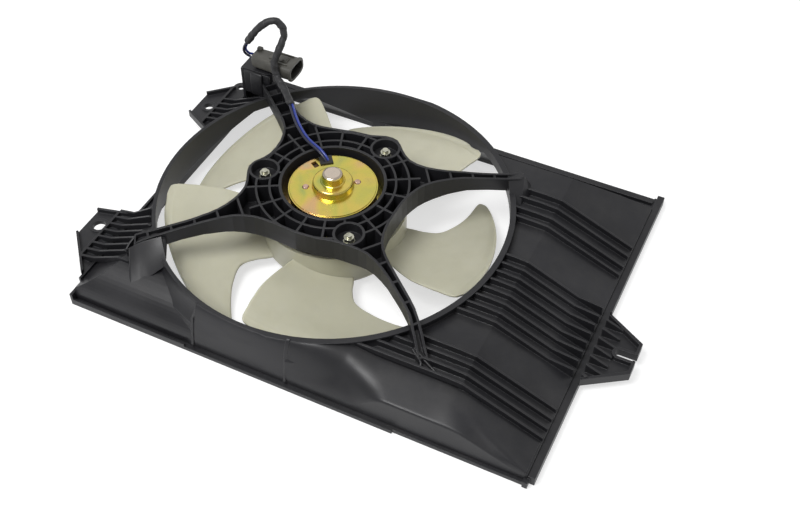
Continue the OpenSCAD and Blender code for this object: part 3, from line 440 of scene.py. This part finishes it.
def superellipse(count, half, tall, square):
    """Rings of a superellipse: the half width or height times the 2/square power of the cosine or sine of
    the angle, with its sign kept."""
    turn = np.linspace(0, 2 * math.pi, count, endpoint=False)[None, :]
    return [size * np.sign(wave) * np.abs(wave)**(2 / square)
            for size, wave in ((half, np.cos(turn)), (tall, np.sin(turn)))]


# Fan blades

HUB_R = 61.3
FAN_R = 143.5
BLADE_T = 2.6
BLADE_LOW = 1.6
BLADE_HIGH = 40.0
BLADE_SAG = 0.05
BLADE_COUNT = 5
BLADE_STATIONS = 33
FAN_TURN = 17.8
# the tip keeps a narrow flat, so that its two faces never meet in one line
TIP_FLAT = 0.03
# share of the radius, straight edge's angle, hooked edge's angle, height share, height lost per degree
BLADE_ROWS = np.array([
    [-0.015, 84, 133, 0.68, 0.0088],
    [0.06, 83.3, 131.3, 0.69, 0.0090],
    [0.18, 82.8, 128.8, 0.73, 0.0098],
    [0.34, 82.5, 128.7, 0.78, 0.0108],
    [0.50, 83, 135, 0.83, 0.0121],
    [0.63, 84.3, 141.2, 0.88, 0.0137],
    [0.73, 85.2, 146, 0.92, 0.0145],
    [0.80, 86, 149, 0.945, 0.0148],
    [0.85, 86.4, 150.3, 0.96, 0.0150],
    [0.89, 86.8, 149.4, 0.97, 0.0154],
    [0.915, 87, 146.5, 0.98, 0.0158],
    [0.93, 87.3, 132, 0.98, 0.0159],
    [0.945, 87.5, 121, 0.985, 0.0160],
    [0.965, 88, 112, 0.99, 0.0160],
    [0.985, 89, 104, 0.985, 0.0160],
    [1, 92, 97, 0.93, 0.0160]])


def blade_points(turn):
    """A curved plate: each row lies at one radius, from the straight edge to the hooked one, and sinks along
    the axis with the angle. The half thickness fades to nothing on a quarter circle at every edge."""
    share, first, last, height, fall = (column[:, None] for column in through(BLADE_ROWS, 6).T)
    u = 0.5 - 0.5 * np.cos(np.linspace(0, math.pi, BLADE_STATIONS))
    radius = HUB_R + (FAN_R - HUB_R) * share
    angle = first + (last - first) * u
    sag = BLADE_SAG * np.sin(math.pi * u) * np.minimum(1, 0.4 + share)
    lift = height - fall * (angle - first) - sag
    middle = BLADE_LOW + BLADE_T / 2 + (BLADE_HIGH - BLADE_LOW - BLADE_T) * np.clip(lift, 0, 1)
    width = np.radians(last - first) * radius
    rim = np.minimum(np.minimum(u, 1 - u) * width, np.abs(FAN_R - radius) + TIP_FLAT) / (BLADE_T / 2)
    half = BLADE_T / 2 * np.sqrt(1 - (1 - np.clip(rim, 0, 1))**2)
    angle = np.radians(angle + turn)
    top = np.stack([radius * np.cos(angle), radius * np.sin(angle), middle + half], -1)
    bottom = np.stack([radius * np.cos(angle), radius * np.sin(angle), middle - half], -1)
    return np.concatenate([top, bottom[:, -2:0:-1]], 1)[:, ::-1]


def make_blades():
    """Five blades, each one closed surface whose root lies in the hub wall."""
    blades = []
    for k in range(BLADE_COUNT):
        points = blade_points(FAN_TURN + 360 / BLADE_COUNT * k)
        blades.append(add_piece(f"blade_{k + 1}", points, "rotor", "fan_plastic"))
    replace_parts(blades[0], "fan_blades")


# Lead

LEAD_ROUTE = np.array([
    [23, 17, 60], [24.5, 20, 64], [28, 28, 67.2], [35, 43, 67.6], [45, 56, 67.6], [56, 67, 67.5],
    [69, 78, 67], [84, 93, 67], [94, 106, 71], [97, 110, 82], [102, 108, 92], [111, 106, 105],
    [112.5, 110, 114.5], [109, 117, 118], [104, 128, 109.5], [103, 140, 92], [104.5, 145, 82],
    [107.5, 145, 75], [110, 141, 71.4], [110, 134, 71], [110, 122, 71]], float)
LEAD_SIDE = np.array([1, -0.35, 0]) / math.hypot(1, 0.35)
LEAD_STEPS = 8
WIRE_R = 1.15
WIRE_GAP = 0.06
WIRE_SIDES = 14
# how much further apart the wires run at the plug, and over which last spans of the route
SPLAY, SPLAY_FROM, SPLAY_OVER = 2.3, 2.5, 1.5
SLEEVE_R = 3.4
SLEEVE_FROM = 6
SLEEVE_TO = 15
SLEEVE_SIDES = 36
TAPE_T = 0.42
TAPE_UNDER = 0.4
TAPE_LAP = 9.0
# the share of a lap over which the radius rises, and the share of the rise that it loses again
LAP_RISE, LAP_FALL = 0.12, 0.75
# the swell's height and its two rates along the sleeve
SWELL, SWELL_SLOW, SWELL_FAST = 0.16, 0.31, 0.83


def lead_frames():
    """The route's middle line with, at each point, the direction across it nearest the flat of the pair, and
    the direction square to both."""
    line = through(LEAD_ROUTE, LEAD_STEPS)
    ahead = unit(np.gradient(line, axis=0))
    across = unit(LEAD_SIDE - (ahead @ LEAD_SIDE)[:, None] * ahead)
    return line, across, np.cross(ahead, across)


def tube(line, radius, sides, across, over):
    """Rows of a round tube: circles of the given radii square to the line. Its map places are the turn and
    the length in laps of the tape."""
    turn = np.linspace(0, 2 * math.pi, sides, endpoint=False)[None, :, None]
    ring = np.cos(turn) * across[:, None, :] + np.sin(turn) * over[:, None, :]
    laps = path_length(line)[:, None] / TAPE_LAP
    places = np.stack(np.broadcast_arrays(turn[..., 0] / (2 * math.pi), laps), -1)
    return line[:, None, :] + radius[:, :, None] * ring, places


def make_wires():
    """The two wires from the motor's grommet to the plug: the middle line moved sideways, and further apart
    where it enters the plug."""
    middle, across, over = lead_frames()
    left = (len(middle) - 1 - np.arange(len(middle))) / LEAD_STEPS
    apart = 1 + SPLAY * np.clip((SPLAY_FROM - left) / SPLAY_OVER, 0, 1)
    for name, sign in (("wire_blue", 1), ("wire_black", -1)):
        line = middle + sign * (WIRE_R + WIRE_GAP) * apart[:, None] * across
        points, places = tube(line, np.full((len(line), 1), WIRE_R), WIRE_SIDES, across, over)
        wire = add_piece(name + "_lead", points, "housing", name, uv=places)
        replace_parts(wire, "lead_" + name[5:])


def make_sleeve():
    """The taped sleeve: a tube whose radius steps in slanted laps, one for each turn of the tape, and swells
    a little along its length."""
    part = slice(SLEEVE_FROM * LEAD_STEPS, SLEEVE_TO * LEAD_STEPS + 1)
    coarse = np.linspace(0, 1, part.stop - part.start)
    fine = np.linspace(0, 1, 4 * (len(coarse) - 1) + 1)
    line, across, over = (np.stack([np.interp(fine, coarse, column) for column in rows[part].T], -1)
                          for rows in lead_frames())
    along = path_length(line)[:, None]
    turn = np.linspace(0, 1, SLEEVE_SIDES, endpoint=False)[None, :]
    lap = np.mod(turn + along / TAPE_LAP, 1)
    step = np.where(lap < LAP_RISE, lap / LAP_RISE, 1 - LAP_FALL * (lap - LAP_RISE) / (1 - LAP_RISE))
    slanted = np.sin(along * SWELL_FAST + 1 + 2 * math.pi * turn)
    swell = SWELL * np.sin(along * SWELL_SLOW) + SWELL * slanted
    ends = np.sqrt(np.clip(np.minimum(along, along[-1] - along), 0.15, 1))
    radius = (SLEEVE_R - TAPE_UNDER + TAPE_T * step + swell) * ends
    points, places = tube(line, radius, SLEEVE_SIDES, unit(across), unit(over))
    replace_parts(add_piece("taped_sleeve", points, "housing", "tape", uv=places), "lead_sleeve")


# Plug and its bracket

# place along the plug, half width, half height, how square the section is
PLUG_ROWS = np.array([
    [137.5, 6.6, 5.2, 5.0], [138.0, 7.4, 5.9, 5.0], [134.0, 7.9, 6.4, 5.5], [122.0, 8.1, 6.5, 6.0],
    [118.5, 8.2, 6.6, 6.0], [116.0, 9.4, 6.9, 5.0], [113.5, 10.9, 7.2, 4.0], [110.0, 11.4, 7.3, 3.6],
    [100.0, 11.7, 7.4, 3.4], [97.6, 11.8, 7.5, 3.4], [97.3, 12.5, 8.1, 3.4], [95.5, 12.6, 8.2, 3.4],
    [95.0, 12.3, 7.9, 3.4], [95.0, 10.4, 6.1, 3.4], [95.6, 10.0, 5.7, 3.4], [110.5, 9.6, 5.3, 3.6]])
PLUG_MIDDLE = (110.0, 71.0)
# rows of the mouth's inner wall and how deep in shade each is
MOUTH_ROWS = [12, 13, 14, 15]
MOUTH_SHADE = [0, 0.35, 0.8, 1]
# low corner, high corner, radius of the ends, how square the section is
PLUG_TRIM = {
    "plug_latch": ((106.0, 103.0, 77.2), (114.0, 121.0, 79.6), 0.5, 6.0),
    "plug_catch": ((106.6, 104.0, 78.6), (113.4, 107.5, 80.6), 0.5, 6.0),
    "plug_rib_a": ((102.6, 101.0, 76.6), (104.0, 119.0, 79.2), 0.4, 6.0),
    "plug_rib_b": ((116.0, 101.0, 76.6), (117.4, 119.0, 79.2), 0.4, 6.0),
    "plug_tail": ((112.0, 132.5, 76.8), (116.5, 137.0, 80.2), 0.5, 3.0)}
BRACKET_TRIM = {
    "bracket_face": ((99.4, 119.0, 36.5), (101.6, 146.0, 61.6), 0.8, 9.0),
    "bracket_lobe": ((96.0, 125.5, 37.0), (101.0, 137.5, 62.5), 1.6, 2.6)}
# how far along an end each of its rings lies and how far it is drawn in, as shares of twice the radius
END_RINGS = np.array([[0.0, 0.25], [0.15, 0.08], [0.5, 0.0]])


def rounded_box(name, low, high, radius, square, slot):
    """A block whose section across Y is a superellipse and whose ends are drawn in on a small curve."""
    low, high = np.array(low), np.array(high)
    middle, half = (low + high) / 2, (high - low) / 2
    step, inset = 2 * radius * END_RINGS.T
    y = np.concatenate([low[1] + step, high[1] - step[::-1]])[:, None]
    inset = np.concatenate([inset, inset[::-1]])[:, None]
    across, up = superellipse(28, half[0] - inset, half[2] - inset, square)
    points = np.stack(np.broadcast_arrays(middle[0] + across, y, middle[2] + up), -1)
    add_piece(name, points[:, ::-1], "housing", slot, sharp=40)


def make_plug():
    """The plug housing: superellipse sections along its length, a plain square body that flares into a wide
    oval mouth with a rim, and the mouth's inner wall down to its floor."""
    y, half, tall, square = (column[:, None] for column in PLUG_ROWS.T)
    across, up = superellipse(48, half, tall, square)
    points = np.stack(np.broadcast_arrays(PLUG_MIDDLE[0] + across, y, PLUG_MIDDLE[1] + up), -1)
    shell = add_piece("plug_shell", points, "housing", "plug_plastic", sharp=35)
    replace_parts(shell, "connector_housing")
    # the painted shade of the mouth's inner wall: one value for each point, read by the plug's material
    shade = np.interp(np.arange(len(PLUG_ROWS)), MOUTH_ROWS, MOUTH_SHADE)
    inside = shell.data.attributes.new("inside", "FLOAT", "POINT")
    inside.data.foreach_set("value", np.repeat(shade, across.shape[1]).astype(np.float32))
    for name, box in PLUG_TRIM.items():
        rounded_box(name, *box, "plug_plastic")


def make_bracket_face():
    """The closed face of the plug's bracket with one upright rounded lobe."""
    for name, box in BRACKET_TRIM.items():
        rounded_box(name, *box, "shroud_plastic")


# Side of the shroud

PANEL_Z = 37.0
RING_R = 150.9
RING_Z = 44.3
# the moulding's rounded side and sloped bottom: where each starts, how high, and how wide it is
SIDE_START, SIDE_LOW, SIDE_RUN = -157.0, 8.0, 45.0
SLOPE_START, SLOPE_LOW, SLOPE_RUN = -238.0, 10.0, 68.0
SIDE_CREASE = 3.0
# the new face: its outer wall, the first rib, its ridge and how far the ridge lies under the slope
SIDE_X = -157.1
SIDE_END = -126.25
RIDGE_LOW = 8.2
RIDGE_HIGH = 29.5
RIDGE_DROP = 2.7
RIDGE_ROUND = np.array([1.1, 0.45, 0.12])
RIDGE_SPREAD, PANEL_SPREAD, FACE_BLEND = 5, 6, 0.9
RING_GAP = 0.08
# -Y at which the fold starts and ends at the ridge, and how much less that is at the ring
FOLD = ((88, 34), (124, 14))
# beside the ribs: the height over the panel, the power across, and its rise over a span of -Y
RIB_LIFT, RIB_POWER, RIB_POWER_RISE, RIB_POWER_SPAN = 0.2, 1.15, 2.2, (155, 205)
GUSSET_Y = -39.0
GUSSET_HALF = 1.4
GUSSET_RISE = 1.3
GUSSET_ROWS = GUSSET_Y + np.array([-1.5, -1.3, 1.3, 1.5])
# the stations along the face and across it
FACE_Y = np.sort(np.concatenate([
    np.linspace(-236.5, -176, 16), np.linspace(-172, 42.6, 70), GUSSET_ROWS]))[:, None]
FACE_T = np.concatenate([[0.0, 0.012, 0.03, 0.055, 0.09, 0.14], np.linspace(0.2, 1, 19)])[None, :]
# the upright wall's rows: how far below the ridge each lies, and the lowest it may go
WALL_DROPS = np.array([99.0, 3.0, 0.7])
WALL_FEET = np.array([3.1, 3.2, 3.3])
FACE_INSIDE = np.array([1.0, 0, -1.0])
FACE_FOOT = 2.6


def ease(value, low, high):
    """Zero below low, one above high and a smooth step between."""
    t = np.clip((value - low) / (high - low), 0, 1)
    return t * t * (3 - 2 * t)


def soft_lower(a, b, spread):
    """The lower of two heights, rounded where they meet: their mean less half the root of the square of
    their difference plus the spread."""
    return a - 0.5 * ((a - b) + np.sqrt((a - b)**2 + spread))


def slope_height(y):
    """The height of the shroud's sloped bottom, a straight rise from its foot."""
    return SLOPE_LOW + (y - SLOPE_START) / SLOPE_RUN * (PANEL_Z - SLOPE_LOW)


def moulding_side(x, y):
    """The moulding's own height beside the ring: the lower of its rounded side, a quarter ellipse, and its
    sloped bottom, with the crease between them spread a little."""
    share = np.clip((x - SIDE_START) / SIDE_RUN, 0, 1)
    side = SIDE_LOW + (PANEL_Z - SIDE_LOW) * np.sqrt(np.clip(1 - (1 - share)**2, 0, 1))
    bottom = np.minimum(slope_height(y), PANEL_Z)
    gap = np.abs(side - bottom)
    return (np.minimum(side, bottom) - SIDE_CREASE * np.log1p(np.exp(-gap / SIDE_CREASE))
            + SIDE_CREASE * math.log(2) * np.exp(-(gap / (2.2 * SIDE_CREASE))**2) + 0.15)


def make_side_face():
    """The face beside the ring. Across it the height goes from a ridge to the ring or the first rib on
    1-(1-t)^p, t being the share of the way; along it a fold that runs aslant turns the round face beside the
    ring into the nearly flat one beside the ribs. Below the ridge it is an upright wall. It closes on itself
    1 mm inside."""
    y, t = FACE_Y, FACE_T
    slope = slope_height(y)
    panel = soft_lower(PANEL_Z, slope, PANEL_SPREAD)
    ridge = np.maximum(RIDGE_LOW, soft_lower(RIDGE_HIGH, slope - RIDGE_DROP, RIDGE_SPREAD))
    inner = -np.sqrt(np.maximum(RING_R**2 - y**2, SIDE_END**2)) - RING_GAP
    x = SIDE_X + (inner - SIDE_X) * t
    by_ring = RIDGE_LOW + (RING_Z - RIDGE_LOW) * (1 - (1 - t)**2)
    power = RIB_POWER + RIB_POWER_RISE * ease(-y, *RIB_POWER_SPAN)
    by_ribs = ridge + (panel + RIB_LIFT - ridge) * (1 - (1 - t)**power)
    z = by_ring + (by_ribs - by_ring) * ease(-y, *(start - lean * t for start, lean in FOLD))
    own = moulding_side(x, y)
    blend = FACE_BLEND * np.log1p(np.exp(-np.abs(z - own) / FACE_BLEND))
    z = np.maximum(z, own) + blend * (t > 0) * (t < 0.97)
    z += GUSSET_RISE * (np.abs(y - GUSSET_Y) < GUSSET_HALF)
    z[:, :len(RIDGE_ROUND)] -= RIDGE_ROUND
    wall = np.maximum(z[:, :1] - WALL_DROPS, WALL_FEET)
    z = np.concatenate([wall, z], 1)
    x = np.concatenate([np.full_like(wall, SIDE_X), x], 1)
    outer = np.stack([x, np.broadcast_to(y, x.shape), z], -1)
    inside = outer[:, ::-1] + FACE_INSIDE
    inside[..., 2] = np.maximum(inside[..., 2], FACE_FOOT)
    inside[:, 0, 0] -= FACE_INSIDE[0]
    add_piece("side_face", np.concatenate([outer, inside], 1), "housing", "shroud_plastic", sharp=38)


# Ends of the arms

# the first arm's foot: its upper edge below the arm's rim and its lower edge on the slope
FOOT_TOP = np.array([[-121.0, 120.6, 46.6], [-118.6, 116.8, 49.2], [-114.5, 111.6, 51.6],
                     [-105.2, 100.0, 53.9]])
FOOT_LOW = np.array([[-141.6, 108.8, 28.2], [-137.0, 103.8, 30.4], [-131.6, 98.2, 32.4],
                     [-120.8, 86.4, 42.4]])
FOOT_FACES = unit(np.array([-0.56, -0.42, 0.72]))
FOOT_RISE, FOOT_PRESS = 1.3, 0.5
FOOT_ROUND = 1.6
FOOT_TURNS = (-0.9, -0.3, 0.3, 0.8, 1.2)
FOOT_DEPTHS = (7.0, 2.5)
# low walls that run on from the ends of two arms: the middle line of each one's top
TAIL_LINES = np.array([
    [[-110.8, 121.6, 50.6], [-115.4, 122.9, 48.6], [-118.8, 123.7, 46.8], [-122.3, 123.7, 44.5]],
    [[-114.2, -127.0, 45.5], [-116.5, -131.0, 43.6], [-119.0, -135.5, 41.0], [-122.5, -137.0, 39.0]],
    [[-112.6, -127.4, 45.5], [-114.6, -133.5, 43.0], [-117.6, -140.5, 40.4], [-120.8, -149.0, 38.2]]])
TAIL_FOOT = 36.4
# the upper edge of a low wall's section: place across, height from the top
TAIL_EDGE = [(0.9, -0.5), (0.6, -0.1), (0.3, 0), (-0.3, 0), (-0.6, -0.1), (-0.9, -0.5)]


def make_foot():
    """The smooth face of the first arm's foot: straight lines between two smooth edges, pressed in a little
    by a sine, and rolled in on a small curve at its free edge, where it is also deepest."""
    top, low = through(FOOT_TOP, 8)[:, None, :], through(FOOT_LOW, 8)[:, None, :]
    v = np.linspace(0, 1, 15)[None, :, None]
    rise = FOOT_RISE - FOOT_PRESS * np.sin(math.pi * v)
    wall = (1 - v) * top + v * low + rise * FOOT_FACES
    out = unit(wall[:1] - wall[1:2])
    roll = [wall[:1] + FOOT_ROUND * (math.cos(a) * out + (math.sin(a) - 1) * FOOT_FACES)
            for a in FOOT_TURNS]
    points = np.concatenate(roll + [wall])
    depth = np.linspace(*FOOT_DEPTHS, len(points))[:, None, None]
    points = np.concatenate([points, points[:, ::-1] - depth * FOOT_FACES], 1)
    add_piece("arm_foot", points, "housing", "shroud_plastic", sharp=40)


def make_tail_walls():
    """Each wall: a narrow section with rounded upper corners, drawn along its line."""
    for k, places in enumerate(TAIL_LINES):
        line = through(places, 8)
        ahead = unit(np.gradient(line[:, :2], axis=0))
        side = np.stack([-ahead[:, 1], ahead[:, 0]], -1)
        foot = np.full(len(line), TAIL_FOOT)
        section = [(0.9, foot)] + [(a, line[:, 2] + b) for a, b in TAIL_EDGE] + [(-0.9, foot)]
        points = np.stack([np.column_stack([line[:, :2] + a * side, z]) for a, z in section], 1)
        add_piece(f"tail_wall_{k + 1}", points, "housing", "shroud_plastic", sharp=35)


# Studio

FLOOR_HALF = 6.0
FLOOR_Z = -0.0005
FLOOR_GLOW = 0.62
ROOM_LIGHT = 0.50
MIDDLE = Vector((0, -20, 30)) * MM
# place, size and power of each lamp
LAMPS = {
    "lamp_key": ((-0.78, 0.31, 1.63), 0.8, 22),
    "lamp_fill": ((1.2, -1.9, 0.9), 1.2, 5.5),
    "lamp_mirrored": ((1.12, 0.66, 1.38), 1.3, 1.8)}


def make_floor():
    """A plain pale floor: white where the camera, a reflection or a see-through ray meets it, and it keeps
    the object's shadow."""
    mesh = bpy.data.meshes.new("floor")
    corners = [(FLOOR_HALF * x, FLOOR_HALF * y, FLOOR_Z) for x, y in ((-1, -1), (1, -1), (1, 1), (-1, 1))]
    mesh.from_pydata(corners, [], [(0, 1, 2, 3)])
    material, tree, shader = start("floor_paper", (0.5, 0.5, 0.5), 0.9, Specular_IOR_Level=0.1)
    ray = add(tree, "LightPath").outputs
    mirrored = math_node(tree, "MAXIMUM", ray["Is Glossy Ray"], ray["Is Transmission Ray"])
    seen = math_node(tree, "MAXIMUM", ray["Is Camera Ray"], mirrored)
    strength = math_node(tree, "MULTIPLY", seen, FLOOR_GLOW)
    glow = add(tree, "Emission", [("Color", (1, 1, 1, 1)), ("Strength", strength)])
    both = add(tree, "AddShader", [(0, shader.outputs[0]), (1, glow.outputs[0])])
    tree.links.new(both.outputs[0], tree.nodes["Material Output"].inputs["Surface"])
    mesh.materials.append(material)
    floor = bpy.data.objects.new("floor", mesh)
    bpy.context.collection.objects.link(floor)


def light_studio():
    """One broad lamp above on the camera's side, a weak fill on the right, one that the flat metal mirrors
    to the camera, and a pale even room. Each is a square that looks at the fan's middle."""
    for name, (place, size, power) in LAMPS.items():
        lamp = bpy.data.lights.new(name, "AREA")
        lamp.shape = "SQUARE"
        lamp.size = size
        lamp.energy = power
        box = bpy.data.objects.new(name, lamp)
        box.location = place
        box.rotation_euler = (Vector(place) - MIDDLE).to_track_quat("Z", "Y").to_euler()
        bpy.context.collection.objects.link(box)
    world = bpy.data.worlds.new("room")
    bpy.context.scene.world = world
    world.use_nodes = True
    tree = world.node_tree
    shade = tree.nodes["Background"]
    seen = add(tree, "LightPath").outputs["Is Camera Ray"]
    tree.links.new(remap(tree, seen, 0, 1, ROOM_LIGHT, 1.0), shade.inputs["Strength"])
    shade.inputs["Color"].default_value = (1, 1, 1, 1)


bpy.context.scene.view_settings.view_transform = "Standard"
place_camera()
make_wires()
make_sleeve()
make_blades()
make_plug()
make_bracket_face()
make_side_face()
make_foot()
make_tail_walls()
dress_nodes()
make_floor()
light_studio()
